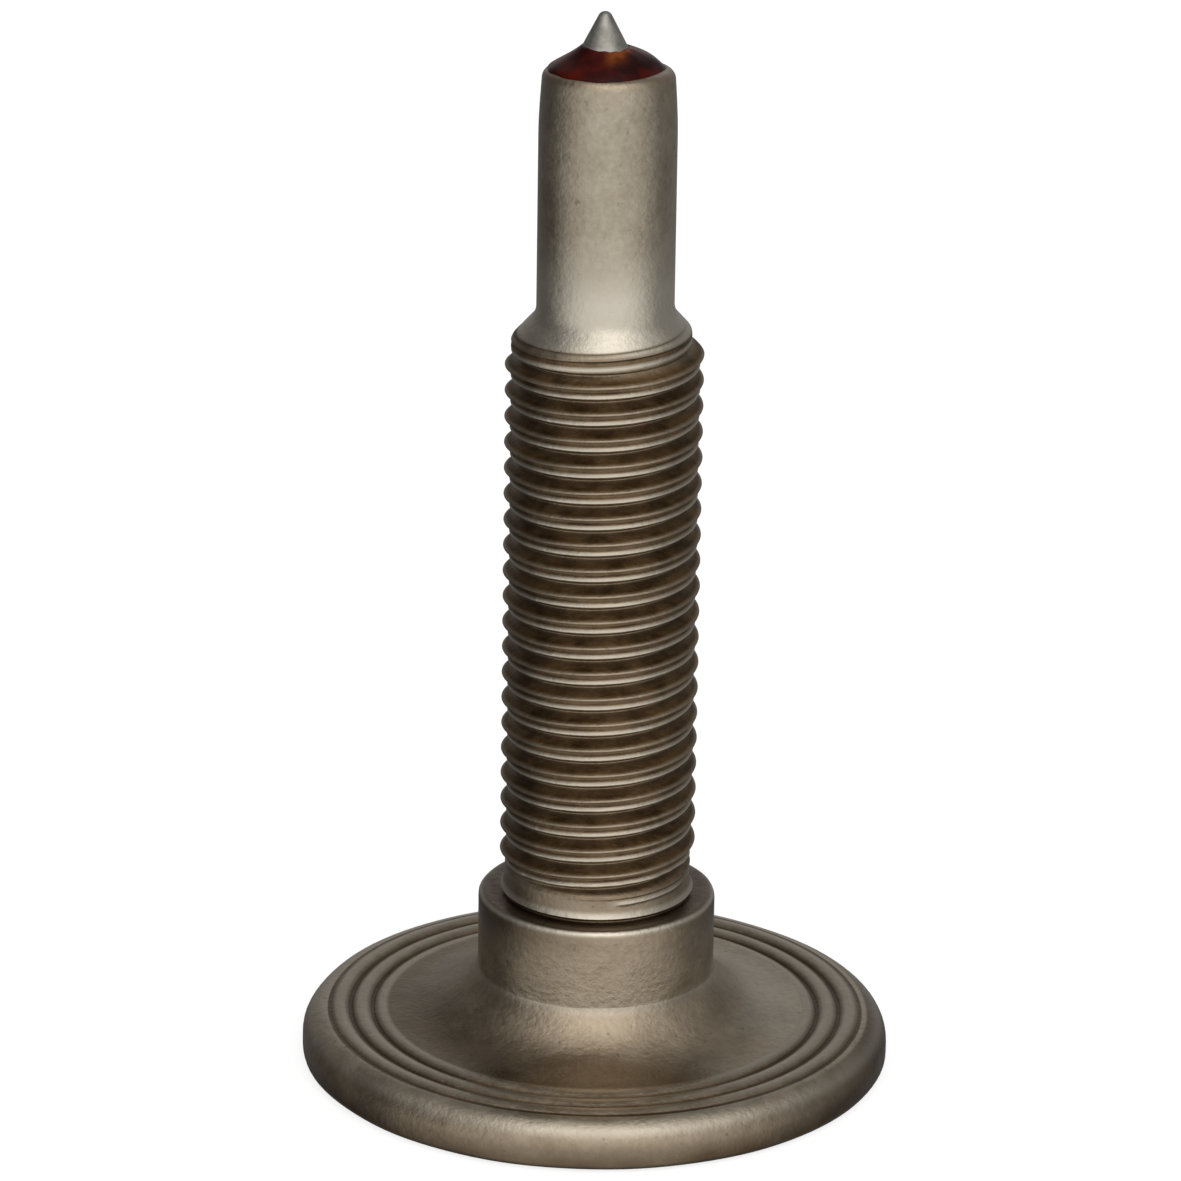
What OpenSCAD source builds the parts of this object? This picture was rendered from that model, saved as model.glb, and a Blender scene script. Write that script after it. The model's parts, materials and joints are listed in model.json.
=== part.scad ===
// Carbide traction stud for a rubber track.
// A cold headed steel stud has a flange that lies under the belt, a collar that fills the hole in
// the belt, a threaded shank for the nut and a nose that points at the ice. A carbide pin is brazed
// into a blind bore in the nose. The stud stands on its flange, with its axis along +Z. The thread
// has its true section all round, drawn as rings one pitch apart in place of the fine helix.

/* [Flange] */
// Outer diameter of the flange
flange_d = 23.3; // [22:0.1:32]
// Thickness of the flange, from the flat base to the belt face
flange_t = 2.03; // [1.7:0.01:3.5]
// Radius of the round that carries the top face over the rim
rim_edge_r = 1.06; // [0.6:0.02:1.2]
// How far the top of the rim lies below the belt face
rim_drop = 0.11; // [0.04:0.01:0.15]
// Radius of the lower edge of the rim
rim_base_r = 0.4; // [0.1:0.05:0.5]

/* [Grip grooves] */
// Number of ring grooves that grip the belt
groove_count = 3; // [2:1:4]
// Distance from one ring groove to the next
groove_pitch = 0.87; // [0.6:0.01:1]
// Depth of the ring grooves
groove_depth = 0.16; // [0.12:0.01:0.25]

/* [Collar] */
// Diameter of the collar that fills the hole in the belt
collar_d = 9.36; // [8.8:0.02:11]
// Height of the collar above the belt face
collar_h = 5.04; // [3:0.01:12]
// Radius of the top edge of the collar
collar_edge_r = 0.3; // [0.1:0.05:0.6]
// Height above the belt face at which the cove meets the wall of the collar
cove_h = 1.8; // [0.4:0.05:2.2]
// Radius of the cove between the collar and the flange
cove_r = 3.9; // [2.3:0.1:4.6]

/* [Shank] */
// Diameter over the crests of the thread
thread_d = 7.72; // [7.5:0.01:8.4]
// Length of the threaded stretch
thread_l = 21.6; // [10:0.1:60]
// Turns of the thread per inch
threads_per_inch = 24; // [20:1:28]
// Depth of the thread grooves
thread_depth = 0.54; // [0.4:0.01:0.6]
// Width of the flat at the bottom of a thread groove
thread_root_w = 0.1; // [0.05:0.01:0.14]
// Angle between the flanks of a thread groove
thread_angle = 60; // [50:1:62]
// Height of the first thread groove above the plain neck
thread_start = 0.17; // [0:0.01:1]
// Diameter of the plain neck between the collar and the thread
neck_d = 7.3; // [6.6:0.02:7.4]
// Length of the plain neck
neck_l = 1.13; // [0.5:0.01:3]
// Diameter of the flared foot of the neck
neck_foot_d = 7.62; // [7.4:0.02:8.2]
// Height of the undercut between the collar and the foot of the neck
undercut_h = 0.2; // [0.1:0.02:0.4]
// Angle of the shoulder above the thread, measured from the horizontal
shoulder_angle = 48; // [30:1:65]

/* [Nose] */
// Diameter of the nose
nose_d = 5.33; // [4.8:0.01:6.4]
// Length of the nose above the shoulder
nose_l = 9.77; // [7:0.01:20]
// Radius of the cove at the foot of the nose
nose_cove_r = 0.8; // [0.2:0.05:1.5]
// Height of the slightly tapered end of the nose
nose_taper_h = 2.2; // [1:0.05:4]
// How much the taper takes off the diameter of the nose
nose_taper_d = 0.21; // [0.05:0.01:0.3]
// Radius of the end edge of the nose
nose_edge_r = 0.38; // [0.1:0.02:0.5]

/* [Carbide pin] */
// Diameter of the carbide pin
pin_d = 3; // [2.4:0.05:3.6]
// Length of the carbide pin, from its flat end to its tip
pin_l = 7.5; // [5:0.1:9]
// How far the tip stands above the end of the nose
tip_h = 2.1; // [1.6:0.01:2.4]
// Angle across the pointed tip
tip_angle = 54; // [50:1:70]
// Radius of the blunt point
tip_r = 0.29; // [0.1:0.01:0.4]

/* [Braze] */
// Thickness of the braze film between the pin and its bore
braze_gap = 0.06; // [0.04:0.01:0.12]
// Width of the bare steel ring that is left outside the braze on the end of the nose
braze_margin = 0.02; // [0.01:0.01:0.2]
// Height of the braze where it meets the cone of the pin
braze_h = 0.7; // [0.4:0.05:1]
// How much the face of the braze bulges
braze_crown = 0.07; // [0.03:0.01:0.12]

/* [Hidden] */
$fn = 96;

// heights along the axis, from the base of the flange up
z_belt = flange_t;
z_collar = z_belt + collar_h;
z_thread = z_collar + neck_l;
z_shoulder = z_thread + thread_l;
z_nose = z_shoulder + (thread_d - nose_d) / 2 * tan(shoulder_angle);
z_end = z_nose + nose_l;
z_tip = z_end + tip_h;
z_pin = z_tip - pin_l;

// the thread begins with a chamfer of 45 degrees
thread_lead = (thread_d - neck_d) / 2;
thread_pitch = 25.4 / threads_per_inch;
groove_turns = floor((thread_l - thread_start) / thread_pitch);
// overlap of shapes that are joined, so that they share no edge
lap = 0.3;

// the outermost groove lies at the inner end of the rim round
rim_r = flange_d / 2;
groove_r = rim_r - rim_edge_r;
// each ridge between two grooves is a circle through both groove bottoms
ridge_r = (pow(groove_pitch / 2, 2) + pow(groove_depth, 2)) / (2 * groove_depth);
// the plain belt face ends at the crest of the innermost ridge
belt_face_r = groove_r - (groove_count - 0.5) * groove_pitch;

// the blunt point is a ball that touches the cone all round
tip_half = tip_angle / 2;
apex_z = z_tip + tip_r / sin(tip_half) - tip_r;
ball_z = z_tip - tip_r;
bore_r = pin_d / 2 + braze_gap;

// the braze face is an arc from the edge of the nose end to the cone of the pin
braze_r = nose_d / 2 - nose_taper_d / 2 - nose_edge_r - braze_margin;
braze_top = [(apex_z - z_end - braze_h) * tan(tip_half), z_end + braze_h];
braze_foot = [braze_r, z_end];
braze_chord = norm(braze_foot - braze_top);
braze_arc_r = (pow(braze_chord / 2, 2) + pow(braze_crown, 2)) / (2 * braze_crown);
braze_normal = [braze_top[1] - braze_foot[1], braze_foot[0] - braze_top[0]] / braze_chord;
braze_centre = (braze_foot + braze_top) / 2 - braze_normal * (braze_arc_r - braze_crown);

// a disc section from the axis to radius r, from height z0 to z1
module band(r, z0, z1) {
    translate([0, z0])
        square([r, z1 - z0]);
}

// the corner between a wall at radius r and a floor at height z, filled with a cove of radius c
// that runs out into the floor and meets the wall at height h above it
module cove(r, z, c, h) {
    foot = sqrt(c * c - (c - h) * (c - h));
    difference() {
        translate([r - lap, z - lap])
            square([foot + lap, h + lap]);
        translate([r + foot, z + c])
            circle(r = c);
    }
}

module flange_profile() {
    // height of the widest part of the rim
    rim_z = z_belt - rim_drop - rim_edge_r;
    band(belt_face_r, 0, z_belt);
    band(rim_r - rim_base_r, 0, rim_z);
    band(rim_r, rim_base_r, rim_z);
    translate([rim_r - rim_base_r, rim_base_r])
        circle(r = rim_base_r);
    band(groove_r, 0, z_belt - groove_depth - rim_drop);
    intersection() {
        translate([groove_r, rim_z])
            circle(r = rim_edge_r);
        band(rim_r + lap, (rim_base_r + rim_z) / 2, z_belt);
    }
    for (i = [0 : groove_count - 1])
        translate([groove_r - (i + 0.5) * groove_pitch, z_belt - ridge_r])
            circle(r = ridge_r);
}

module collar_profile() {
    band(collar_d / 2, z_belt - lap, z_collar - collar_edge_r);
    band(collar_d / 2 - collar_edge_r, z_belt - lap, z_collar);
    translate([collar_d / 2 - collar_edge_r, z_collar - collar_edge_r])
        circle(r = collar_edge_r);
    cove(collar_d / 2, z_belt, cove_r, cove_h);
}

module shank_profile() {
    polygon([
        [0, z_collar - lap],
        [neck_d / 2, z_collar - lap],
        [neck_d / 2, z_collar],
        [neck_foot_d / 2, z_collar + undercut_h],
        [neck_d / 2, z_thread],
        [thread_d / 2, z_thread + thread_lead],
        [thread_d / 2, z_shoulder],
        [nose_d / 2, z_nose],
        [0, z_nose]
    ]);
}

// the thread in section: grooves one pitch apart, each a V with a narrow flat bottom
// the first is half as deep, where the real thread sinks in from the neck
module thread_grooves() {
    over = 0.1;
    for (i = [0 : groove_turns]) {
        depth = thread_depth * (i == 0 ? 0.5 : 1);
        mouth = thread_root_w + 2 * (depth + over) * tan(thread_angle / 2);
        translate([thread_d / 2, z_thread + thread_start + i * thread_pitch])
            polygon([
                [over, -mouth / 2],
                [-depth, -thread_root_w / 2],
                [-depth, thread_root_w / 2],
                [over, mouth / 2]
            ]);
    }
}

module nose_profile() {
    end_r = (nose_d - nose_taper_d) / 2;
    // the cove touches the wall of the nose and the cone of the shoulder
    cove_z = z_nose + nose_cove_r * (1 - sin(shoulder_angle)) / cos(shoulder_angle);
    cove_centre = [nose_d / 2 + nose_cove_r, cove_z];
    cove_foot = cove_centre - nose_cove_r * [sin(shoulder_angle), cos(shoulder_angle)];
    band(nose_d / 2, z_nose - lap, z_end - nose_taper_h);
    polygon([
        [0, z_end - nose_taper_h],
        [nose_d / 2, z_end - nose_taper_h],
        [end_r, z_end - nose_edge_r],
        [0, z_end - nose_edge_r]
    ]);
    band(end_r - nose_edge_r, z_end - nose_taper_h, z_end);
    translate([end_r - nose_edge_r, z_end - nose_edge_r])
        circle(r = nose_edge_r);
    difference() {
        polygon([[0, z_nose - lap], cove_foot - [0, lap], cove_foot, [nose_d / 2, cove_z], [0, cove_z]]);
        translate(cove_centre)
            circle(r = nose_cove_r);
    }
}

module bore_profile() {
    band(bore_r, z_pin - braze_gap, z_end + lap);
}

module pin_profile() {
    cone_r = tip_r * cos(tip_half);
    polygon([
        [0, z_pin],
        [pin_d / 2, z_pin],
        [pin_d / 2, apex_z - pin_d / 2 / tan(tip_half)],
        [cone_r, ball_z + tip_r * sin(tip_half)],
        [0, ball_z + tip_r * sin(tip_half)]
    ]);
    intersection() {
        translate([0, ball_z])
            circle(r = tip_r);
        band(tip_r, ball_z, z_tip + lap);
    }
}

module stud_body() {
    color([0.47, 0.44, 0.38])
        rotate_extrude()
            difference() {
                union() {
                    flange_profile();
                    collar_profile();
                    shank_profile();
                    nose_profile();
                }
                thread_grooves();
                bore_profile();
            }
}

module carbide_tip() {
    color([0.6, 0.58, 0.56])
        rotate_extrude()
            pin_profile();
}

module braze_fillet() {
    color([0.36, 0.08, 0.02])
        rotate_extrude()
            difference() {
                union() {
                    band(bore_r, z_pin - braze_gap, z_end);
                    intersection() {
                        translate(braze_centre)
                            circle(r = braze_arc_r);
                        band(braze_r + lap, z_end, z_tip);
                    }
                }
                pin_profile();
            }
}

stud_body();
carbide_tip();
braze_fillet();
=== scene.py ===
# %% [markdown]
# # A carbide traction stud
# The stud is bolted through the rubber track of a snowmobile. A cold headed steel body has a wide
# flange with three grip grooves, a collar, a rolled thread and a smooth nose. A carbide pin is
# brazed into the nose and stands out as a blunt point. The CAD model has all of these at their
# real size, and draws the thread as plain V rings one pitch apart. This lesson gives the thread
# its helix and its rolled form, wets the joint of the point with braze, and gives each metal its
# finish.

import json
import math

import bpy
import numpy as np
from mathutils import Matrix, Vector

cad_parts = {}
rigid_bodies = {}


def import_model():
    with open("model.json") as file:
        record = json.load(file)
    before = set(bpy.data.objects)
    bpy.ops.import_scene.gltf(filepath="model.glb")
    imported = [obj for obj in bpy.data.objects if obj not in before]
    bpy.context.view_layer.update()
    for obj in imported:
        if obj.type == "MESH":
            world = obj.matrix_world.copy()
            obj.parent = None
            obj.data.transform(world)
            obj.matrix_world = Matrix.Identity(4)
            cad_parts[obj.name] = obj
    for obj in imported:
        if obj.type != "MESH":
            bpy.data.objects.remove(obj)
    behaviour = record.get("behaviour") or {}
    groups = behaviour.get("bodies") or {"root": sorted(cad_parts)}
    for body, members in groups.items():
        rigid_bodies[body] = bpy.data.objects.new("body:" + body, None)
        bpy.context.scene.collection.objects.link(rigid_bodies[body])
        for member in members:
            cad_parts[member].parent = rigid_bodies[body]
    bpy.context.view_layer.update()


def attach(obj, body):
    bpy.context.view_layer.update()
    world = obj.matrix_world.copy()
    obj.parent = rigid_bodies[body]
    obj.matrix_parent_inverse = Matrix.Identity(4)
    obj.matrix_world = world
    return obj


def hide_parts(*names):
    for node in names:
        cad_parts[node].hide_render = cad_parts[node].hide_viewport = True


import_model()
scene = bpy.context.scene

# %% [markdown]
# The photograph was taken with a long lens, from 20 degrees above the horizon. The number of
# thread turns along the shank and the flat ellipses of the flange fix the distance. The stud
# leans a little in the picture, so the camera is rolled and the stud stays upright.

# %% Camera
MM = 0.001
SENSOR_MM, PHOTO_PX, FOCAL_PX = 36, 1181, 7200
NEAREST, FARTHEST = 0.01, 20
VIEW_ELEVATION = math.radians(20.143)
VIEW_DISTANCE = 281.06 * MM
VIEW_TARGET = Vector((-0.4134, 0, 19.59)) * MM
VIEW_ROLL = math.radians(0.845)

camera_data = bpy.data.cameras.new("camera")
camera_data.sensor_width = SENSOR_MM
camera_data.lens = SENSOR_MM * FOCAL_PX / PHOTO_PX
camera_data.clip_start = NEAREST
camera_data.clip_end = FARTHEST
camera = bpy.data.objects.new("camera", camera_data)
scene.collection.objects.link(camera)
towards_camera = Vector((0, -math.cos(VIEW_ELEVATION), math.sin(VIEW_ELEVATION)))
aim = (-towards_camera).to_track_quat("-Z", "Y").to_matrix()
turn = (aim @ Matrix.Rotation(VIEW_ROLL, 3, "Z")).to_4x4()
camera.matrix_world = Matrix.Translation(VIEW_TARGET + towards_camera * VIEW_DISTANCE) @ turn
scene.camera = camera
print("camera at", [round(v, 4) for v in camera.location], "lens", round(camera_data.lens, 1))

# %% [markdown]
# Metal shows its surroundings, so the light is made as a whole sky. A large soft field of light
# fills the front, a stronger lamp hangs high in front, and a narrow glow behind the stud is what
# the flat belt face mirrors. The sides and the back stay dim, and give the steel its dark edges.
# To the camera the surroundings are plain white.

# %% World light
# each light: azimuth to the right of the camera and height in degrees, then strength
FRONT_FIELD = (-3, -19, 0.76)
LAMP = (10, 64, 1.45)
BACK_WALL = (180, 14, 0.32)
# the front field fades between these two cosines from its middle, the others by these powers
FRONT_EDGE = (-0.10, 0.98)
LAMP_TIGHT, BACK_TIGHT = 11, 24
# strength of the rest of the sky, and how much stronger it is on the right
LIGHT_REST, LIGHT_TILT = 0.16, 0.08

scene.view_settings.view_transform = "Standard"
world = bpy.data.worlds.new("studio")
scene.world = world
world.use_nodes = True


def add_node(tree, kind, **settings):
    """One new node in a tree. A setting named in_0, in_1 and so on fills that input socket."""
    node = tree.nodes.new(kind)
    for name, value in settings.items():
        if name.startswith("in_"):
            key = name[3:]
            socket = node.inputs[int(key) if key.isdigit() else key.replace("_", " ")]
            if hasattr(value, "is_output"):
                tree.links.new(value, socket)
            else:
                socket.default_value = value
        else:
            setattr(node, name, value)
    return node


def sums(tree, operation, a, b=None, c=None):
    """The output of a Math node on two or three sockets or numbers."""
    parts = {"in_%d" % i: v for i, v in enumerate((a, b, c)) if v is not None}
    return add_node(tree, "ShaderNodeMath", operation=operation, **parts).outputs[0]


def fade(tree, value, low, high, start=0.0, end=1.0):
    """A smooth step: start where the value is below low, end where it is above high."""
    node = add_node(tree, "ShaderNodeMapRange", interpolation_type="SMOOTHSTEP", in_0=value,
                    in_1=low, in_2=high, in_3=start, in_4=end)
    return node.outputs[0]


sky = world.node_tree
sky.nodes.clear()
ray = add_node(sky, "ShaderNodeTexCoord").outputs["Generated"]


def nearness(azimuth, height):
    """Cosine of the angle between the ray and a direction in the sky."""
    az, el = math.radians(azimuth), math.radians(height)
    towards = (math.sin(az) * math.cos(el), -math.cos(az) * math.cos(el), math.sin(el))
    node = add_node(sky, "ShaderNodeVectorMath", operation="DOT_PRODUCT", in_0=ray, in_1=towards)
    return node.outputs["Value"]


def lobe(azimuth, height, strength, tightness, below):
    """Light that falls off all round one direction, added to what lies below it."""
    half = sums(sky, "MULTIPLY_ADD", nearness(azimuth, height), 0.5, 0.5)
    return sums(sky, "MULTIPLY_ADD", sums(sky, "POWER", half, tightness), strength, below)


ray_x = add_node(sky, "ShaderNodeSeparateXYZ", in_0=ray).outputs[0]
level = sums(sky, "MULTIPLY_ADD", ray_x, LIGHT_TILT, LIGHT_REST)
field = fade(sky, nearness(*FRONT_FIELD[:2]), *FRONT_EDGE)
level = sums(sky, "MULTIPLY_ADD", field, FRONT_FIELD[2], level)
level = lobe(*LAMP, LAMP_TIGHT, level)
level = lobe(*BACK_WALL, BACK_TIGHT, level)
camera_ray = add_node(sky, "ShaderNodeLightPath").outputs["Is Camera Ray"]
seen = add_node(sky, "ShaderNodeMix", data_type="FLOAT", in_0=camera_ray, in_2=level, in_3=1.0)
shine = add_node(sky, "ShaderNodeBackground", in_0=(1, 1, 1, 1), in_1=seen.outputs[0])
add_node(sky, "ShaderNodeOutputWorld", in_0=shine.outputs[0])
print("front field", FRONT_FIELD[2], "lamp", LAMP[2], "back wall", BACK_WALL[2])

# %% [markdown]
# The stud stands on a pale floor that is as good as white in the picture, so only a soft shadow
# under the flange shows where it stands. From below the floor is clear, so that the underside of
# the flange can be looked at.

# %% Floor
FLOOR_SIZE, FLOOR_DROP = 3.0, 0.00005
FLOOR_GREY = (0.4, 0.4, 0.4, 1)
# light that the camera alone sees, which lifts the grey to white
FLOOR_GLOW = 0.80

floor_mesh = bpy.data.meshes.new("floor")
reach = FLOOR_SIZE / 2
corners = [(-reach, -reach), (reach, -reach), (reach, reach), (-reach, reach)]
floor_mesh.from_pydata([(x, y, -FLOOR_DROP) for x, y in corners], [], [(0, 1, 2, 3)])
floor = bpy.data.objects.new("floor", floor_mesh)
scene.collection.objects.link(floor)
floor.visible_glossy = False

floor_paint = bpy.data.materials.new("floor_paint")
floor_paint.use_nodes = True
tree = floor_paint.node_tree
tree.nodes.clear()
card = add_node(tree, "ShaderNodeBsdfDiffuse", in_0=FLOOR_GREY)
camera_ray = add_node(tree, "ShaderNodeLightPath").outputs["Is Camera Ray"]
glow_level = sums(tree, "MULTIPLY", camera_ray, FLOOR_GLOW)
glow = add_node(tree, "ShaderNodeEmission", in_0=(1, 1, 1, 1), in_1=glow_level)
lit = add_node(tree, "ShaderNodeAddShader", in_0=card.outputs[0], in_1=glow.outputs[0])
below = add_node(tree, "ShaderNodeNewGeometry").outputs["Backfacing"]
clear = add_node(tree, "ShaderNodeBsdfTransparent")
both = add_node(tree, "ShaderNodeMixShader", in_0=below, in_1=lit.outputs[0], in_2=clear.outputs[0])
add_node(tree, "ShaderNodeOutputMaterial", in_0=both.outputs[0])
floor_mesh.materials.append(floor_paint)
print("floor", FLOOR_SIZE, "m wide")

# %% [markdown]
# The body is headed and rolled from one blank, so it is one mesh too. Its plain parts are turned
# shapes: a profile of radius and height, carried round the axis. All sizes are in millimetres,
# as in the CAD source, and the mesh is written in metres.

# %% Sizes and the flange
# radii end in _R, heights above the base in _Z and heights of one form in _H; rounds are radii
FLANGE_R, RIM_ROUND, RIM_FOOT, RIM_DROP, BELT_Z = 11.65, 1.06, 0.4, 0.11, 2.03
RIM_Z = BELT_Z - RIM_DROP - RIM_ROUND
VALLEY_R = FLANGE_R - RIM_ROUND
GROOVES, GROOVE_PITCH, GROOVE_DEPTH = 3, 0.87, 0.16
COLLAR_R, COLLAR_Z, COLLAR_ROUND = 4.68, 7.07, 0.3
COVE_R, COVE_H = 3.9, 1.8
NECK_R, NECK_FOOT_R, UNDERCUT_R, UNDERCUT = 3.65, 3.81, 3.66, 0.2
THREAD_R, PITCH = 3.86, 1.0583
NOSE_R, NOSE_Z, NOSE_COVE, SHOULDER = 2.665, 31.127, 0.8, math.radians(48)
END_Z, TAPER_H, TAPER_R, END_ROUND = 40.75, 2.2, 0.105, 0.38
BORE_R, PIN_R, PIN_FOOT_Z, PIN_GAP = 1.56, 1.5, 35.497, 0.06
TIP_Z, TIP_HALF, TIP_BALL = 42.997, math.radians(27), 0.29
# the turned belt face is sampled from the rim down to this radius
FACE_STOP_R, FACE_RINGS = 8.36, 66
# points round the axis, counted from the back towards the left
AROUND = 120
ANGLE = np.pi / 2 + 2 * np.pi * np.arange(AROUND) / AROUND


def arc(centre_r, centre_z, radius, start, stop, steps):
    """Points of a circle in the profile plane, from one angle to another in degrees."""
    angle = np.radians(np.linspace(start, stop, steps + 1))
    return np.column_stack([centre_r + radius * np.cos(angle), centre_z + radius * np.sin(angle)])


def belt_face(r):
    """Height of the belt face at radius r: the highest of the rim round, the ridges and the flat.

    Each ridge between two grooves is a circle through both groove bottoms.
    """
    ridge_round = ((GROOVE_PITCH / 2) ** 2 + GROOVE_DEPTH**2) / (2 * GROOVE_DEPTH)
    middles = VALLEY_R - (np.arange(GROOVES) + 0.5) * GROOVE_PITCH
    off = np.abs(r[None, :] - middles[:, None])
    under = BELT_Z - 2 * GROOVE_DEPTH
    sag = ridge_round - np.sqrt(np.clip(ridge_round**2 - off**2, 0, None))
    ridges = np.where(off < ridge_round, BELT_Z - sag, under)
    rim_off = np.abs(r - VALLEY_R)
    round_z = RIM_Z + np.sqrt(np.clip(RIM_ROUND**2 - rim_off**2, 0, None))
    rim = np.where(rim_off < RIM_ROUND, round_z, under)
    flat = np.where(r <= middles[-1], BELT_Z, under)
    return np.max(np.vstack([ridges, rim[None, :], flat[None, :]]), axis=0)


rim_wall = arc(VALLEY_R, RIM_Z, RIM_ROUND, 0, 78, 14)
face_r = np.append(np.linspace(rim_wall[-1, 0] - 0.03, FACE_STOP_R, FACE_RINGS), 8.2)
cove_reach = math.sqrt(COVE_R**2 - (COVE_R - COVE_H) ** 2)
cove_stop = 180 + math.degrees(math.asin((COVE_R - COVE_H) / COVE_R))
cove = arc(COLLAR_R + cove_reach, BELT_Z + COVE_R, COVE_R, 270, cove_stop, 18)
collar_low = BELT_Z + COVE_H
underside = [[0.9, 0], [4, 0], [8, 0], [10.6, 0]]
wall = [[COLLAR_R, z] for z in (collar_low + 0.05, collar_low + 0.3, 5.4, 6.5)]
undercut = [
    [4.1, COLLAR_Z], [3.72, COLLAR_Z], [UNDERCUT_R, COLLAR_Z + 0.03], [UNDERCUT_R, COLLAR_Z + 0.09],
    [3.74, COLLAR_Z + 0.15], [3.79, COLLAR_Z + UNDERCUT - 0.03], [NECK_FOOT_R, COLLAR_Z + UNDERCUT],
]
lower_profile = np.vstack([
    underside,
    arc(FLANGE_R - RIM_FOOT, RIM_FOOT, RIM_FOOT, -90, 0, 8),
    rim_wall,
    np.column_stack([face_r, belt_face(face_r)]),
    cove,
    wall,
    arc(COLLAR_R - COLLAR_ROUND, COLLAR_Z - COLLAR_ROUND, COLLAR_ROUND, 0, 90, 7),
    undercut,
])
print("flange, collar and neck foot:", len(lower_profile), "rings")

# %% [markdown]
# The thread is rolled: two dies press the grooves into the blank, and the steel that they
# displace rises from both sides of each groove. It never quite closes, so the crest has two lips
# with a seam between them, and the upper lip stands a little higher. A screw thread is a profile
# carried along a helix. Rows of the mesh follow the helix too, so that each row keeps its place
# on the profile, such as the bottom of the seam, all the way up.

# %% Thread profile
# height above the lower lip and radius for one turn, read from the outline of the photographed one
THREAD_PROFILE = np.array([
    [-0.065, 3.676], [-0.045, 3.698], [-0.010, 3.704], [0.030, 3.694], [0.075, 3.670],
    [0.125, 3.636], [0.165, 3.606], [0.205, 3.586], [0.265, 3.588], [0.290, 3.618],
    [0.315, 3.700], [0.340, 3.790], [0.365, 3.842], [0.392, 3.858], [0.416, 3.850],
    [0.440, 3.820], [0.470, 3.768], [0.515, 3.690], [0.565, 3.604], [0.630, 3.496],
    [0.695, 3.396], [0.745, 3.334], [0.780, 3.312], [0.815, 3.330], [0.858, 3.410],
    [0.902, 3.505], [0.942, 3.590], [0.970, 3.640],
])
ROWS = len(THREAD_PROFILE)
# places on the profile, as heights above the lower lip, which is met again one pitch higher up
LOWER_LIP, SEAM, UPPER_LIP = -0.01, 0.23, 0.40
UPPER_FLANK, GROOVE_FOOT, NEXT_LIP = 0.56, 0.78, 1.048
# height of the lower lip in front at turn 0, the turns that are drawn, and rows left out of them
FRONT_LIP_Z = 28.755
FIRST_TURN, LAST_TURN = -20, 4
SKIPPED_LOW, SKIPPED_HIGH = 8, 20
# rows of the flared neck under the thread, and where the flare begins
FLARE_ROWS, FLARE_CROWD, FLARE_TOP = 14, 1.6, 7.95
# the thread sinks in over START_RISE, from THREAD_START behind, and START_DIP lower in front
THREAD_START, START_DIP, START_RISE = 8.4, 0.45, 0.45
# run-out: from turn, to turn, and by how much the crest sinks
RUN_OUT = ((0.24, 0.34, 0.23), (0.80, 1.10, 0.26))
# depth of the two lines along the last turn
LINE_DEPTH = 0.10
# on the left the lower lip is lower by this, and the shoulder too
LEFT_LIP_LOW, SHOULDER_TILT = 0.09, 0.15
# a burr on the neck, between two shares of a turn
BURR_Z, BURR_FROM, BURR_TO, BURR_H = 7.81, 0.52, 0.70, 0.07


def neck_line(z):
    """Radius of the neck: plain above, and flared by the cube of the way down to its foot."""
    down = np.clip((FLARE_TOP - z) / (FLARE_TOP - COLLAR_Z - UNDERCUT), 0, 1)
    return NECK_R + (NECK_FOOT_R - NECK_R) * down**3


def nose_line(z):
    """Radius of the body above the thread: shoulder cone, cove and straight nose."""
    cone = NOSE_R + (NOSE_Z - z) / math.tan(SHOULDER)
    cove_z = NOSE_Z + NOSE_COVE * (1 - math.sin(SHOULDER)) / math.cos(SHOULDER)
    foot_z = cove_z - NOSE_COVE * math.cos(SHOULDER)
    sag = NOSE_R + NOSE_COVE - np.sqrt(np.clip(NOSE_COVE**2 - (z - cove_z) ** 2, 0, None))
    return np.where(z > cove_z, NOSE_R, np.where(z > foot_z, sag, cone))


def soft_min(a, b, width):
    """The smaller of two arrays, rounded over where they cross."""
    mix = np.clip(0.5 + 0.5 * (b - a) / width, 0, 1)
    return b + (a - b) * mix - width * mix * (1 - mix)


def step(value, low, high):
    """A smooth step from 0 below low to 1 above high."""
    part = np.clip((value - low) / (high - low), 0, 1)
    return part**2 * (3 - 2 * part)


def bump_at(value, middle, width):
    """A bell curve round a middle value."""
    return np.exp(-(((value - middle) / width) ** 2))


def wander(turns, seed, fastest=7.0, waves=9):
    """A smooth random line along the helix, about from -1 to 1: a sum of sines of odd lengths."""
    rng = np.random.default_rng(seed)
    speed = rng.uniform(0.3, fastest, waves)
    phase = rng.uniform(0, 2 * np.pi, waves)
    size = rng.uniform(0.5, 1.0, waves)
    wave = size[:, None] * np.sin(2 * np.pi * speed[:, None] * turns.ravel() + phase[:, None])
    return (np.sum(wave, axis=0) / math.sqrt(waves)).reshape(turns.shape)


def at_lower_lips(offset, width, lower=0.0):
    """Bell curves at the lower lip and where the profile meets it again one turn higher."""
    near = bump_at(offset, LOWER_LIP - lower, width)
    return near + bump_at(offset, NEXT_LIP - lower, width)


print("thread profile:", ROWS, "rows to a turn,", LAST_TURN - FIRST_TURN, "turns")

# %% [markdown]
# The grid of the shank has a row for each point of the profile and turn, and a column for each
# share of a turn. Height is the height of the lip plus pitch times turns, so the grid is sheared.
# Its radius is the profile, faded into the neck at the bottom and cut by the shoulder at the top.
# The first crest is torn where the dies began, and the last turn runs out in two steps.

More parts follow.
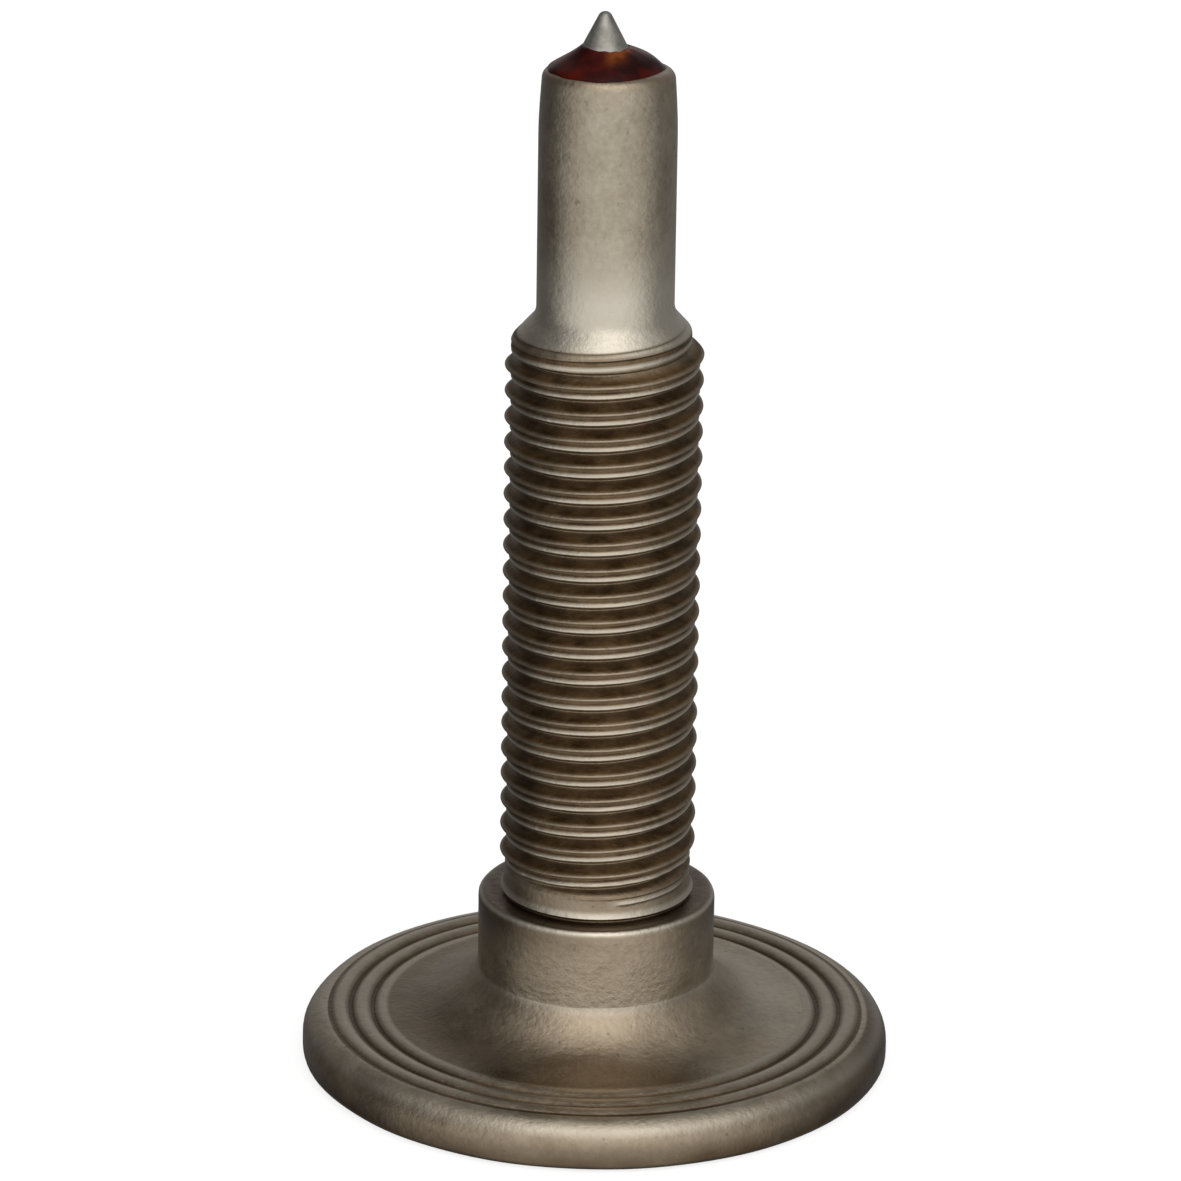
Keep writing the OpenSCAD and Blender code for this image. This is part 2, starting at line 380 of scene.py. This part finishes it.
# %% Shank
def thread_grid():
    """Share of a turn, turns so far, place on the profile, its radius, and height of each point.

    The share is 0 at the back, 0.25 on the left, 0.5 in front and 0.75 on the right.
    """
    used = slice(SKIPPED_LOW, (LAST_TURN - FIRST_TURN) * ROWS - SKIPPED_HIGH)
    turns = np.repeat(np.arange(FIRST_TURN, LAST_TURN), ROWS)[used, None]
    offset, shape = np.tile(THREAD_PROFILE, (LAST_TURN - FIRST_TURN, 1))[used].T[:, :, None]
    share = np.arange(AROUND)[None, :] / AROUND
    along = turns + share - 0.5
    return share, along, offset, shape, FRONT_LIP_Z + PITCH * along + offset


def thread_start(share):
    """Height at which the thread begins to sink in: a cosine, lowest in front."""
    return THREAD_START - START_DIP * (1 - np.cos(2 * np.pi * share)) / 2


def end_lines(along, offset):
    """Two lines pressed along the last turn: bell curves that fade in and out."""
    last_turn = step(along, 0.70, 0.85) * (1 - step(along, 1.1, 1.3))
    return (bump_at(offset, SEAM, 0.05) + bump_at(offset, UPPER_FLANK, 0.05)) * last_turn


def shoulder_line(angle, z):
    """Radius of the nose and its shoulder, which starts a little lower on the left."""
    return nose_line(z - SHOULDER_TILT * np.clip(np.cos(angle), -1, 0))


def shank_radius(share, along, offset, shape, z, limit):
    """Radius on the grid: the profile and its wandering lips, faded in and then cut off.

    The lips and the seam wander by hundredths of a millimetre, and most where the crest is torn.
    Each cut is the smaller of two radii, rounded over. The nose above the shoulder is straight.
    """
    start = thread_start(share)
    torn = 1 + 3.5 * bump_at(z, start + START_RISE + 0.1, 0.5)
    lip, upper = at_lower_lips(offset, 0.08), bump_at(offset, UPPER_LIP, 0.07)
    seam = bump_at(offset, SEAM, 0.06)
    r = shape + (0.010 * torn * wander(along, 3) - LEFT_LIP_LOW * bump_at(share, 0.25, 0.12)) * lip
    r = r + 0.008 * wander(along, 5) * upper - 0.022 * wander(along, 8) * seam
    r = r + 0.012 * torn * wander(along, 12, 30) * (lip + 0.5 * seam)
    r = neck_line(z) + (r - neck_line(z)) * step(z, start, start + START_RISE)
    crest_turn = along + (offset > GROOVE_FOOT)
    lowered = sum(drop * step(crest_turn, early, late) for early, late, drop in RUN_OUT)
    r = soft_min(r, THREAD_R - lowered, 0.03) - LINE_DEPTH * end_lines(along, offset)
    return np.where(z > NOSE_Z + 0.35, NOSE_R, soft_min(r, limit, 0.08))


share, along, offset, shape, grid_z = thread_grid()
thread_angle = np.pi / 2 + 2 * np.pi * share
limit = shoulder_line(thread_angle, grid_z)
flare = ((np.arange(FLARE_ROWS)[:, None] + 1) / (FLARE_ROWS + 1)) ** FLARE_CROWD
foot_z = COLLAR_Z + UNDERCUT
flare_z = foot_z + (grid_z[:1] - foot_z) * flare
thread_z = np.vstack([flare_z, grid_z])
thread_r = np.vstack([neck_line(flare_z), shank_radius(share, along, offset, shape, grid_z, limit)])
burr = step(share, BURR_FROM, BURR_FROM + 0.03) * (1 - step(share, BURR_TO - 0.05, BURR_TO))
burr = burr * bump_at(thread_z, BURR_Z + PITCH * (share - BURR_FROM), 0.08)
thread_r = thread_r + BURR_H * burr
print("shank grid:", thread_r.shape, "from", round(float(thread_z.min()), 2), "mm up")

# %% [markdown]
# The nose is turned smooth after heading. Its last two millimetres taper slightly, the end edge
# is rounded, and a blind bore takes the carbide pin. The end was never quite square: it rises and
# falls by about a tenth of a millimetre, and is highest in front.

# %% Nose and bore profile
END_TILT = 0.12

bore_z = PIN_FOOT_Z - PIN_GAP
straight = [[NOSE_R, z] for z in (33.0, 34.0, 35.0, 37.0, END_Z - TAPER_H - 0.4)]
taper = [[NOSE_R - 0.01, END_Z - TAPER_H + 0.2], [NOSE_R - 0.05, END_Z - 1.2]]
bore = [[1.9, END_Z], [BORE_R, END_Z], [BORE_R, END_Z - 1.2], [BORE_R, bore_z], [0.6, bore_z]]
end_round = arc(NOSE_R - TAPER_R - END_ROUND, END_Z - END_ROUND, END_ROUND, 0, 90, 9)
upper_profile = np.vstack([straight, taper, end_round, bore])
print("nose and bore:", len(upper_profile), "rings")

# %% [markdown]
# The three stretches share the same number of points round the axis, so strips of faces join
# them. The threaded grid climbs by one pitch on its way round, and its two ends meet at the back:
# each point of the last column joins the first column one turn higher up. The step that is left
# there at the bottom and at the top is closed too. Forging leaves the rim and the collar
# a few hundredths of a millimetre out of round.

# %% Put the body together
def ripple(angle, seed, waves=14):
    """A smooth random ring, about from -1 to 1: a sum of sines with whole numbers of waves."""
    rng = np.random.default_rng(seed)
    count = np.arange(2, 2 + waves)
    phase = rng.uniform(0, 2 * np.pi, waves)
    size = rng.uniform(0.4, 1.0, waves) / np.sqrt(waves)
    wave = size[:, None] * np.sin(count[:, None] * angle.ravel() + phase[:, None])
    return np.sum(wave, axis=0).reshape(angle.shape)


def turned(profile, out=0.0, up=0.0):
    """Points of a turned shape: x and y are radius times cosine and sine of the angle.

    out and up are small changes of radius and height, one for each point.
    """
    r = profile[:, :1] + out + 0 * ANGLE
    z = profile[:, 1:] + up + 0 * ANGLE
    return np.stack([r * np.cos(ANGLE), r * np.sin(ANGLE), z], axis=-1)


def ring_faces(start, rings):
    """Four-sided faces between neighbouring rings of a turned shape, facing outwards."""
    row = np.arange(rings - 1)[:, None] * AROUND + start
    here = np.arange(AROUND)[None, :]
    after = (here + 1) % AROUND
    above = row + AROUND
    return np.stack([row + here, row + after, above + after, above + here], axis=-1).reshape(-1, 4)


def make_piece(name, points_mm, faces):
    """A smooth mesh object in metres from points in millimetres, at the origin, unturned."""
    mesh = bpy.data.meshes.new(name)
    mesh.from_pydata((points_mm * MM).tolist(), [], faces)
    mesh.validate()
    mesh.polygons.foreach_set("use_smooth", np.full(len(mesh.polygons), True))
    mesh.update()
    piece = bpy.data.objects.new(name, mesh)
    scene.collection.objects.link(piece)
    return piece


def strip(lower, upper):
    """Faces that join two rows of points, all but the last to the first."""
    low, high = lower + np.arange(AROUND - 1), upper + np.arange(AROUND - 1)
    return np.stack([low, low + 1, high + 1, high], axis=-1)


def end_faces(last_ring):
    """One face that closes the first ring of a piece, and one that closes its last ring."""
    return [list(range(AROUND - 1, -1, -1)), list(range(last_ring, last_ring + AROUND))]


def body_faces(heights, low_rings, grid_rows, high_rings):
    """Faces of the three stretches of the body, and of the strips that join them.

    The step at the bottom is closed by a ladder of small faces, each between points of about
    the same height in the first and the last column. One face closes the step at the top, and two
    more close the underside and the bottom of the bore.
    """
    low_end = low_rings * AROUND
    grid_end = low_end + grid_rows * AROUND
    last_low = low_end - AROUND
    top_row = grid_end - AROUND
    starts = np.arange(grid_rows - 1)[:, None] * AROUND + low_end
    inner = strip(starts, starts + AROUND).reshape(-1, 4)
    k = np.arange(FLARE_ROWS, grid_rows - 1 - ROWS) * AROUND + low_end
    climb = ROWS * AROUND
    seam = np.stack([k + AROUND - 1, k + climb, k + climb + AROUND, k + 2 * AROUND - 1], axis=-1)
    joins = [strip(last_low, low_end), strip(top_row, grid_end)]
    turned_faces = [ring_faces(0, low_rings), ring_faces(grid_end, high_rings)]
    faces = np.vstack([turned_faces[0], inner, seam, *joins, turned_faces[1]]).tolist()
    first = last_low + np.arange(FLARE_ROWS + ROWS + 2) * AROUND
    last = last_low + np.arange(FLARE_ROWS + 2) * AROUND + AROUND - 1
    rung = np.abs(heights[first][:, None] - heights[last]).argmin(axis=0)
    for j in range(len(last) - 1):
        faces.append([last[j], *first[rung[j] : rung[j + 1] + 1], last[j + 1]])
    *column, column_foot = (top_row + AROUND - 1 - np.arange(ROWS + 1) * AROUND).tolist()
    faces.append([column_foot, top_row, grid_end, grid_end + AROUND - 1, *column])
    return faces + end_faces(grid_end + (high_rings - 1) * AROUND)


around = ANGLE[None, :]
low_r, low_z = lower_profile[:, :1], lower_profile[:, 1:]
on_rim = step(low_r, 10.2, 11.2)
on_collar = step(low_z, 3.0, 4.2) * (1 - step(low_z, 7.2, 7.27))
collar_foot = bump_at(low_z, collar_low, 0.18) * (low_r < 5.2)
out = -0.02 * (1 + ripple(around, 21)) * on_rim + 0.012 * ripple(around, 22) * on_collar
up = 0.012 * ripple(around, 23, 12) * collar_foot
up = up - 0.015 * (1 + ripple(around, 24)) * on_rim * (low_z > 1.2)
thread_x, thread_y = thread_r * np.cos(thread_angle), thread_r * np.sin(thread_angle)
near_end = step(upper_profile[:, 1:], 38.5, END_Z - 0.5)
stretches = [
    turned(lower_profile, out, up),
    np.stack([thread_x, thread_y, thread_z], axis=-1),
    turned(upper_profile, 0, -END_TILT * np.sin(around) * near_end),
]
body_points = np.concatenate([points.reshape(-1, 3) for points in stretches])
body_rows = [len(points) for points in stretches]
body = make_piece("stud_steel", body_points, body_faces(body_points[:, 2], *body_rows))
print("body:", len(body.data.vertices), "points,", len(body.data.polygons), "faces")

# %% [markdown]
# Oil and burnt lubricant stay where nothing rubs: in the grip grooves, in the thread groove and
# its seam, and on top of the collar. Tumbling against other studs wipes the lips of the thread and
# the sharp edges bright. Three values at each point of the mesh keep this: the dark stain, the
# brown oxide film of the rolled grooves, and the polish of the edges. The stain also holds painted
# shade: in the grip valleys, in the undercut, on the belt face and at the foot of the rim, and more
# on some sides than on others. The polish also holds painted highlights: on the rim, the grip
# ridges, the lower wall of the collar and the foot of the nose.

# %% Where the steel is stained, brown or polished, and where shade and highlights are painted
# borders of the zones on the turned stretches, as radii and heights in millimetres
RIDGES_R, RIM_TOP_R, RIM_SIDE_Z, ABOVE_SHOULDER_Z = 8.3, 10.64, 1.1, 30
# the second of these paints a highlight on the shoulder and on the foot of the nose
NECK_SOIL, NOSE_HIGHLIGHT, FOOT_POLISH = 0.3, 0.9, 0.8


def stain_and_shade_of_turned(profile):
    """Stain and painted shade of the turned stretches, from 0 for bright steel to 1: a smooth step
    in each zone.
    """
    r, z = profile[:, 0], profile[:, 1]
    on_ridges = (r > RIDGES_R) & (r < RIM_TOP_R) & (z > 1.5) & (z < 2.1)
    in_undercut = (z > COLLAR_Z - 0.03) & (z < COLLAR_Z + 0.16)
    end_stain = 0.04 * step(z, 39.2, 40.2) + 0.08 * step(z, END_Z - 0.3, END_Z - 0.1)
    zones = [
        # the grip ridges, with darker valleys that are partly oil and partly painted shade
        (on_ridges, 0.36 + 0.6 * step(BELT_Z - z, 0.05, 0.12)),
        ((r >= RIM_TOP_R) & (z > RIM_SIDE_Z), 0.02 + 0.2 * step(r, 10.8, 11.6)),
        # painted shade: the outer side of the rim darkens towards the floor
        ((r > RIM_TOP_R) & (z <= RIM_SIDE_Z), 0.22 + 0.65 * step(-z, -1.25, -0.45)),
        # the belt face and the foot of the cove, darker lower down: oil and painted shade
        ((r < RIDGES_R) & (z > 2.0) & (z <= collar_low), 0.50 - 0.40 * step(z, 2.12, 3.4)),
        ((z > collar_low) & (z < COLLAR_Z - 0.03), 0.06 + 0.1 * step(z, 4.5, 6.0)),
        # the undercut and the top of the collar: oil and painted shade
        (in_undercut, 0.9 + 0 * z),
        (z > ABOVE_SHOULDER_Z, end_stain),
    ]
    return np.select([zone for zone, _ in zones], [stain for _, stain in zones], NECK_SOIL)


def polish_and_highlight_of_turned(profile):
    """Polish and painted highlights of the turned stretches: bell curves at their edges, smooth
    steps on their walls.
    """
    r, z = profile[:, 0], profile[:, 1]
    collar_edge = bump_at(z, COLLAR_Z - 0.11, 0.07) * (r > 4.3)
    # the crests of the grip ridges are lighter: a painted highlight, with some wear
    ridges = 0.35 * (1 - step(BELT_Z - z, 0.02, 0.05)) * (r > RIDGES_R) * (r < 10.5)
    # painted highlight along the rounded rim
    rim = 0.45 * bump_at(z, 1.62, 0.22) * (r > RIM_TOP_R)
    # painted highlights: the lower wall of the collar is lighter, and a bright line runs along its
    # foot
    collar = 0.3 * (1 - step(z, 4.2, 6.2)) * (z > collar_low) * (r < 5)
    collar = collar + 0.5 * bump_at(z, collar_low - 0.05, 0.12)
    foot = FOOT_POLISH * bump_at(z, COLLAR_Z + UNDERCUT, 0.04) * (r < 4)
    # painted highlight on the foot of the nose, above the shoulder
    nose = NOSE_HIGHLIGHT * (1 - step(z, 31.5, 35)) * (z > ABOVE_SHOULDER_Z)
    return collar_edge + ridges + rim + collar + foot + nose


def shank_marks(share, along, offset, z, limit):
    """Soil, oxide and polish on the grid: oxide in groove and seam, polish on the lips and a
    painted highlight on the shoulder.

    The groove is darkest on its upper flank. Where the radius of the shoulder falls below that of
    the groove, the thread gives way to the nose and its painted highlight.
    """
    start = thread_start(share)
    shoulder = 1 - step(limit, 3.3, 3.5)
    threaded = step(z, start, start + START_RISE) * step(limit, 3.28, 3.42)
    lines = end_lines(along, offset)
    flank = step(offset, 0.43, 0.51) * (1 - step(offset, 0.93, 0.97))
    flank = flank * (1 - 0.6 * step(offset, 0.55, 0.75))
    crack = 0.75 * step(offset, 0.07, 0.13) * (1 - step(offset, 0.30, 0.35))
    oxide = np.maximum(np.maximum(flank, crack) * threaded, 0.9 * lines)
    polish_and_highlight = at_lower_lips(offset, 0.07, 0.01) * threaded
    # painted highlight where the shoulder cuts the thread
    polish_and_highlight = polish_and_highlight + NOSE_HIGHLIGHT * shoulder * (1 - np.clip(lines, 0, 1))
    return NECK_SOIL * (1 - shoulder), oxide, polish_and_highlight


def keep_values(name, low, grid, high):
    """Store one value for each point of the body, the three stretches one after the other."""
    values = np.concatenate([(part + 0 * around).ravel() for part in (low, grid, high)])
    kept_values = body.data.attributes.new(name, "FLOAT", "POINT").data
    kept_values.foreach_set("value", values.astype(np.float32))
    print(name, "on", round(float((values > 0.5).mean()), 3), "of the points")


soil, oxide, polish_and_highlight = shank_marks(share, along, offset, grid_z, limit)
thread_soil = np.vstack([NECK_SOIL + 0 * flare_z, soil])
thread_oxide = np.vstack([0 * flare_z, oxide])
foot_polish = FOOT_POLISH * (1 - step(thread_z, foot_z + 0.1, foot_z + 0.3))
thread_polish_and_highlight = np.vstack([0 * flare_z, polish_and_highlight]) + foot_polish + burr

# painted light and shade by side: the belt face is lighter on the right and at the back and
# darker on the left and in front, the outer rim darker at the far right, and the upper collar
# darker on the left and at the far right
rightward, leftward = np.clip(np.cos(around), 0, 1), np.clip(-np.cos(around), 0, 1)
on_belt = step(low_r, 5.2, 6.5) * (low_r < RIDGES_R) * (low_z > 2.0)
side_light_and_shade = (0.15 * leftward - 0.55 * rightward - 0.13 * np.sin(around)) * on_belt
side_light_and_shade = side_light_and_shade + rightward**8 * (low_r > 10.9)
high_on_collar = step(low_z, 4.8, 6.2) * on_collar
side_light_and_shade = side_light_and_shade + (0.75 * leftward + rightward**6) * high_on_collar
low_stain_and_shade = stain_and_shade_of_turned(lower_profile)[:, None] + side_light_and_shade
low_polish_and_highlight, high_polish_and_highlight = (polish_and_highlight_of_turned(p)[:, None] for p in (lower_profile, upper_profile))
keep_values("stain", low_stain_and_shade, thread_soil, stain_and_shade_of_turned(upper_profile)[:, None])
keep_values("oxide", 0 * low_r, thread_oxide, 0 * upper_profile[:, :1])
keep_values("polish_and_highlight", low_polish_and_highlight, thread_polish_and_highlight, high_polish_and_highlight)

# %% [markdown]
# The steel is dull from tumbling. Its colour changes in soft clouds, fine grains break the
# highlights, and a few small dents show as dark pits and bright nicks. A little oil tans it, more
# of it darkens it, and the oxide film of the grooves is a dark brown that mirrors little. The dark
# stain colour also paints shade, and the bright polish colour also paints highlights.

# %% Steel finish
def ramp(tree, value, low, low_colour, high, high_colour):
    """A colour that goes from one to another between two values."""
    node = add_node(tree, "ShaderNodeValToRGB", in_0=value)
    ends = node.color_ramp.elements
    ends[0].position, ends[0].color = low, (*low_colour, 1)
    ends[1].position, ends[1].color = high, (*high_colour, 1)
    return node.outputs[0]


def blend(tree, share, a, b):
    """One colour over another, by a share from 0 to 1."""
    node = add_node(tree, "ShaderNodeMix", data_type="RGBA", in_0=share)
    for socket, value in ((node.inputs[6], a), (node.inputs[7], b)):
        if hasattr(value, "is_output"):
            tree.links.new(value, socket)
        else:
            socket.default_value = (*value, 1)
    return node.outputs[2]


def noise(tree, where, scale, detail=3, rough=0.55):
    """Soft random clouds with so many to the metre."""
    node = add_node(tree, "ShaderNodeTexNoise", in_Vector=where, in_Scale=scale,
                    in_Detail=detail, in_Roughness=rough)
    return node.outputs[0]


def new_finish(name):
    """An empty material, its node tree and the Object coordinates in it."""
    finish = bpy.data.materials.new(name)
    finish.use_nodes = True
    nodes = finish.node_tree
    nodes.nodes.clear()
    return finish, nodes, add_node(nodes, "ShaderNodeTexCoord").outputs["Object"]


def kept(tree, name):
    """The value that the mesh keeps under a name, as a socket."""
    return add_node(tree, "ShaderNodeAttribute", attribute_name=name).outputs["Fac"]


def bumped(tree, relief, strength, depth):
    """A surface direction that follows a relief, with a depth in metres."""
    node = add_node(tree, "ShaderNodeBump", in_Strength=strength, in_Distance=depth,
                    in_Height=relief)
    return node.outputs[0]


STEEL_DARK, STEEL_LIGHT = (0.36, 0.305, 0.228), (0.50, 0.440, 0.345)
TAN_DARK, TAN_LIGHT = (0.36, 0.287, 0.203), (0.50, 0.410, 0.302)
# the stain colour also paints shade, and the polish colour also paints highlights
STEEL_STAIN_AND_SHADE, STEEL_POLISH_AND_HIGHLIGHT = (0.115, 0.080, 0.048), (0.73, 0.67, 0.56)
STEEL_PIT, STEEL_NICK = (0.14, 0.12, 0.09), (0.66, 0.63, 0.56)
OXIDE_DARK, OXIDE_LIGHT = (0.065, 0.037, 0.014), (0.17, 0.103, 0.044)
STEEL_DULL, STEEL_SMOOTH, OXIDE_ROUGH = 0.40, 0.30, 0.55

steel, tree, place = new_finish("tumbled_steel")
stain, oxide, polish_and_highlight = kept(tree, "stain"), kept(tree, "oxide"), kept(tree, "polish_and_highlight")
mottle = noise(tree, place, 900, 4, 0.6)
cloud = noise(tree, place, 260)
grain = noise(tree, place, 4200, 3, 0.6)
speck = noise(tree, place, 3000, 2, 0.5)
tone = sums(tree, "ADD", sums(tree, "MULTIPLY", mottle, 0.35), sums(tree, "MULTIPLY", cloud, 0.35))
tone = sums(tree, "MULTIPLY_ADD", grain, 0.3, tone)
clean = ramp(tree, tone, 0.40, STEEL_DARK, 0.60, STEEL_LIGHT)
tan = ramp(tree, tone, 0.40, TAN_DARK, 0.60, TAN_LIGHT)
tanned = blend(tree, fade(tree, stain, 0.0, 0.1), clean, tan)
pitted = blend(tree, fade(tree, speck, 0.64, 0.76, 0, 0.5), tanned, STEEL_PIT)
nicked = blend(tree, fade(tree, speck, 0.30, 0.20, 0, 0.5), pitted, STEEL_NICK)
# the dark stain colour also paints shade, where the stain value holds painted shade
patchy = sums(tree, "MULTIPLY_ADD", sums(tree, "SUBTRACT", cloud, 0.5), 0.9, stain)
stain_and_shade_share = add_node(tree, "ShaderNodeMath", operation="MULTIPLY", use_clamp=True, in_0=patchy,
                  in_1=fade(tree, stain, 0.0, 0.12))
stained_and_shaded_steel = blend(tree, stain_and_shade_share.outputs[0], nicked, STEEL_STAIN_AND_SHADE)
brown = ramp(tree, mottle, 0.36, OXIDE_DARK, 0.64, OXIDE_LIGHT)
filmed = blend(tree, oxide, stained_and_shaded_steel, brown)
# the polish colour also paints highlights, where the polish value holds painted highlights
colour = blend(tree, sums(tree, "MULTIPLY", polish_and_highlight, 0.85), filmed, STEEL_POLISH_AND_HIGHLIGHT)
dullness = fade(tree, mottle, 0.3, 0.7, STEEL_SMOOTH, STEEL_DULL)
rough = sums(tree, "MULTIPLY_ADD", oxide, OXIDE_ROUGH - STEEL_DULL, dullness)
dents = sums(tree, "MULTIPLY_ADD", grain, 0.9, sums(tree, "MULTIPLY", speck, -0.3))
relief = sums(tree, "ADD", mottle, dents)
shader = add_node(tree, "ShaderNodeBsdfPrincipled", in_Base_Color=colour, in_Metallic=1.0,
                  in_Roughness=rough, in_Normal=bumped(tree, relief, 0.6, 0.00004))
add_node(tree, "ShaderNodeOutputMaterial", in_0=shader.outputs[0])
body.data.materials.append(steel)
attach(body, "root")
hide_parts("stud_body")
print("steel finish:", len(tree.nodes), "nodes")

# %% [markdown]
# The carbide point is a cone with a blunt end. It is turned here once more with finer steps than
# the CAD mesh has. It was ground after brazing and is a little off the axis of the nose. Its
# matt grey turns to a bluish white near its foot, where flux has bleached it.

# %% Carbide point
# sideways shift of the ground point, and the heights over which it grows
POINT_SHIFT, SHIFT_FROM, SHIFT_TO = -0.17, 40.2, 41.2
CONE_RINGS = 25
CARBIDE_DARK, CARBIDE_LIGHT = (0.29, 0.275, 0.24), (0.44, 0.42, 0.375)
CARBIDE_BLEACHED, BLEACHED_Z, UNBLEACHED_Z = (0.50, 0.56, 0.66), 41.75, 42.05

apex_z = TIP_Z + TIP_BALL / math.sin(TIP_HALF) - TIP_BALL
ball_z = TIP_Z - TIP_BALL
shoulder_z = apex_z - PIN_R / math.tan(TIP_HALF)
cone_top = np.array([TIP_BALL * math.cos(TIP_HALF), ball_z + TIP_BALL * math.sin(TIP_HALF)])
cone_foot = np.array([PIN_R, shoulder_z])
up_cone = np.linspace(0, 1, CONE_RINGS)[:, None]
pin_profile = np.vstack([
    [[0.5, PIN_FOOT_Z], [PIN_R, PIN_FOOT_Z], [PIN_R, 37.5], [PIN_R, 39.0]],
    cone_foot + (cone_top - cone_foot) * up_cone,
    arc(0, ball_z, TIP_BALL, 27, 85, 9)[1:],
])


def shifted(points):
    """The points moved sideways by a smooth step of their height, as the ground point is."""
    aside = POINT_SHIFT * step(points[..., 2], SHIFT_FROM, SHIFT_TO)
    return points + aside[..., None] * np.array([1.0, 0.0, 0.0])


pin_points = shifted(turned(pin_profile)).reshape(-1, 3)
pin_faces = ring_faces(0, len(pin_profile)).tolist()
pin_faces += end_faces((len(pin_profile) - 1) * AROUND)
point = make_piece("carbide_point", pin_points, pin_faces)
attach(point, "root")
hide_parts("carbide_tip")

carbide, tree, place = new_finish("sintered_carbide")
speck = noise(tree, place, 2600, 3, 0.6)
grey = ramp(tree, speck, 0.35, CARBIDE_DARK, 0.65, CARBIDE_LIGHT)
height = add_node(tree, "ShaderNodeSeparateXYZ", in_0=place).outputs[2]
ragged = sums(tree, "MULTIPLY_ADD", speck, 0.0006, height)
bleached = fade(tree, ragged, UNBLEACHED_Z * MM, BLEACHED_Z * MM, 0, 0.6)
colour = blend(tree, bleached, grey, CARBIDE_BLEACHED)
shader = add_node(tree, "ShaderNodeBsdfPrincipled", in_Base_Color=colour, in_Metallic=0.85,
                  in_Roughness=0.4, in_Normal=bumped(tree, speck, 0.2, 0.00003))
add_node(tree, "ShaderNodeOutputMaterial", in_0=shader.outputs[0])
point.data.materials.append(carbide)
print("carbide point:", len(point.data.polygons), "faces")

# %% [markdown]
# Braze wets both the nose end and the point, so it stands as a dome that hides the nose end and
# climbs the cone. It laps over the rounded edge of the nose, but leaves a bay of bare steel at the
# front right. Each line from the edge to the cone is a smooth curve, fuller on the right. The flux
# left on it is a dark red glass. Its one amber streak is thin flux with painted light shining
# through it.

# %% Braze
BRAZE_STEPS = 22
BRAZE_R, BRAZE_BAY, BAY_ANGLE = 2.42, 0.26, -0.5
BRAZE_TOP_Z = 41.66
# the film runs a little into the steel and the carbide, so that no gap shows
SUNK_EDGE, SUNK_TOP = 0.02, 0.01
FLUX_DEEP, FLUX_THIN = (0.018, 0.0010, 0.0006), (0.085, 0.0050, 0.0010)
# the streak colour is painted light shining through thin flux
FLUX_LIT_STREAK = (0.24, 0.055, 0.008)


def nose_end_line(r):
    """Height of the steel at radius r on the nose end: flat, then the round of its edge."""
    out = np.clip(r - (NOSE_R - TAPER_R - END_ROUND), 0, END_ROUND)
    return END_Z - END_ROUND + np.sqrt(END_ROUND**2 - out**2)


def braze_rings():
    """Closed rings of the braze: a cubic curve from edge to cone, then back inside the steel.

    The curve is the sum of its four control points, weighted by powers of t and 1 - t. The bay in
    the edge is a high power of a cosine; another cosine makes the right side fuller.
    """
    right, front = np.clip(1.3 * np.cos(ANGLE), -1, 1), np.clip(-np.sin(ANGLE), 0, 1)
    t = np.linspace(0, 1, BRAZE_STEPS + 1)[:, None]
    weights = [(1 - t) ** 3, 3 * (1 - t) ** 2 * t, 3 * (1 - t) * t**2, t**3]
    bay = BRAZE_BAY * np.clip(np.cos(ANGLE - BAY_ANGLE), 0, 1) ** 6
    edge_r = BRAZE_R - 0.06 * front - 0.14 * np.clip(-right, 0, 1) - bay + 0.02 * ripple(ANGLE, 31)
    tilt = -END_TILT * np.sin(ANGLE)
    edge_z = nose_end_line(edge_r) + tilt - SUNK_EDGE
    top_z = BRAZE_TOP_Z + 0.02 * ripple(ANGLE, 32) - 0.04 * right
    top_r = (apex_z - top_z) * math.tan(TIP_HALF) - SUNK_TOP
    radii = [edge_r, edge_r - 0.26 - 0.14 * right, 1.82 + 0.30 * right - 0.2 * front, top_r]
    upper_z = END_Z + 0.5 * tilt + 0.38 + 0.06 * right
    heights = [edge_z, edge_z + 0.31 + 0.09 * right, upper_z, top_z]
    r = sum(w * v for w, v in zip(weights, radii))
    z = sum(w * v for w, v in zip(weights, heights))
    inside = np.array([[0.7, 0.3], [0.9, -0.5], [2.0, -0.5], [2.1, -0.2]])
    r = np.vstack([r, inside[:, :1] + 0 * ANGLE])
    z = np.vstack([z, END_Z + inside[:, 1:] + 0 * ANGLE])
    return np.stack([r * np.cos(ANGLE), r * np.sin(ANGLE), z], axis=-1)


braze_points = shifted(braze_rings())
last_ring = (len(braze_points) - 1) * AROUND
here = np.arange(AROUND)
after = (here + 1) % AROUND
closing = np.stack([last_ring + here, last_ring + after, after, here], axis=-1)
braze_faces = np.vstack([ring_faces(0, len(braze_points)), closing]).tolist()
meniscus = make_piece("braze_meniscus", braze_points.reshape(-1, 3), braze_faces)
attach(meniscus, "root")
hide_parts("braze_fillet")

braze, tree, place = new_finish("braze_film")
flow = noise(tree, place, 700, 3, 0.55)
red = ramp(tree, flow, 0.40, FLUX_DEEP, 0.66, FLUX_THIN)
side, _, height = add_node(tree, "ShaderNodeSeparateXYZ", in_0=place).outputs
# the amber streak is painted light shining through thin flux, on the right of the dome
left_end, right_end = fade(tree, side, -0.3 * MM, 0.2 * MM), fade(tree, side, 1.0 * MM, 0.4 * MM)
lit_streak = sums(tree, "MULTIPLY", left_end, right_end)
lit_streak = sums(tree, "MULTIPLY", lit_streak, fade(tree, height, 41.15 * MM, 41.50 * MM))
lit_streak = sums(tree, "MULTIPLY", lit_streak, fade(tree, flow, 0.36, 0.56, 0.3, 1.0))
colour = blend(tree, lit_streak, red, FLUX_LIT_STREAK)
shader = add_node(tree, "ShaderNodeBsdfPrincipled", in_Base_Color=colour, in_Metallic=0.0,
                  in_Roughness=0.22)
shader.inputs["Specular IOR Level"].default_value = 0.12
add_node(tree, "ShaderNodeOutputMaterial", in_0=shader.outputs[0])
meniscus.data.materials.append(braze)
print("braze:", len(meniscus.data.polygons), "faces")
